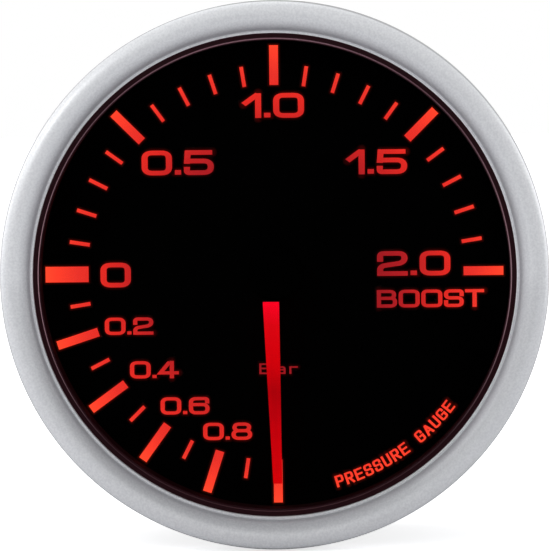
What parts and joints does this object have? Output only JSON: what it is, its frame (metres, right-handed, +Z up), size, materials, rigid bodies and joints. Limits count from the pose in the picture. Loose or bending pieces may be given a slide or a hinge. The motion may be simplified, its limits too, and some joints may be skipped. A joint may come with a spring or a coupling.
{
  "type": "boost gauge",
  "caption": "Round electronic boost gauge with a crowned silver bezel, a lit dial and pointer, a barrel case, rear sockets and mounting studs.",
  "frame": {"origin": "on the gauge's axis in the plane of the panel, where the bezel's rear face lies", "axes": "-Y out of the dial towards the reader, +Z up, +X to the reader's right"},
  "size_m": [0.0644, 0.0531, 0.0644],
  "materials": {
    "black_case": "moulded, fine satin",
    "black_cover": "moulded, fine texture",
    "seal_rubber": "dull",
    "zinc_steel": "zinc plated",
    "silver_paint": "silver flake paint, satin",
    "clear_lens": "clear moulded, polished",
    "black_matte": "dull black",
    "dial_black": "screen printed, matt",
    "red_film": "translucent film, lit",
    "clear_acrylic": "clear moulded",
    "white_abs": "moulded white",
    "led_body": "white body",
    "green_board": "solder mask",
    "brass_turned": "turned",
    "gilt_pins": "gilt flash",
    "chip_epoxy": "moulded epoxy",
    "can_aluminium": "drawn can",
    "natural_nylon": "moulded nylon",
    "grey_plastic": "glass filled nylon",
    "stator_steel": "stamped electrical steel",
    "copper_wire": "enamelled copper winding",
    "arbor_steel": "ground",
    "acetal_wheel": "moulded acetal",
    "red_acrylic": "translucent acrylic, lit from the hub",
    "black_cap": "matt black cap",
    "magnet_ferrite": "sintered ferrite"
  },
  "bodies": {
    "housing": {"case": "black_case", "rear_cover": "black_cover", "cover_seal": "seal_rubber", "cover_screws": "zinc_steel", "mounting_studs": "zinc_steel", "bezel": "silver_paint", "lens": "clear_lens", "lens_gasket": "seal_rubber", "shroud_ring": "black_matte", "dial_plate": "dial_black", "colour_film": "red_film", "light_guide": "clear_acrylic", "light_box": "white_abs", "dial_leds": "led_body", "hub_leds": "led_body", "front_board": "green_board", "board_spacers": "brass_turned", "board_screws": "zinc_steel", "board_header": "black_matte", "header_pins": "gilt_pins", "main_board": "green_board", "microcontroller": "chip_epoxy", "voltage_regulator": "chip_epoxy", "capacitors": "can_aluminium", "buzzer": "black_matte", "power_socket": "natural_nylon", "power_pins": "gilt_pins", "sensor_socket": "natural_nylon", "sensor_pins": "gilt_pins", "motor_base": "grey_plastic", "motor_lid": "grey_plastic", "stator": "stator_steel", "coil_bobbins": "white_abs", "coil_left": "copper_wire", "coil_right": "copper_wire", "motor_pins": "gilt_pins"},
    "pointer": {"motor_shaft": "arbor_steel", "output_wheel": "acetal_wheel", "pointer_hub": "brass_turned", "pointer_blade": "red_acrylic", "hub_cap": "black_cap"},
    "idler": {"idler_arbor": "arbor_steel", "idler_wheel": "acetal_wheel"},
    "rotor": {"rotor_arbor": "arbor_steel", "rotor_magnet": "magnet_ferrite"}
  },
  "joints": [
    {"name": "rotor_spin", "type": "hinge", "parent": "housing", "child": "rotor", "pos_m": [0, 0, -0.01166], "axis": [0, 1, 0], "range_deg": [0, 48600]},
    {"name": "idler_spin", "type": "hinge", "parent": "housing", "child": "idler", "pos_m": [0.0048, 0, -0.00831], "axis": [0, 1, 0], "range_deg": [-4050, 0]},
    {"name": "pointer_sweep", "type": "hinge", "parent": "housing", "child": "pointer", "pos_m": [0, 0, 0], "axis": [0, 1, 0], "range_deg": [0, 270]}
  ],
  "couplings": [
    {"joint": "idler_spin", "follows": "rotor_spin", "ratio": -0.083333},
    {"joint": "pointer_sweep", "follows": "rotor_spin", "ratio": 0.0055556}
  ]
}
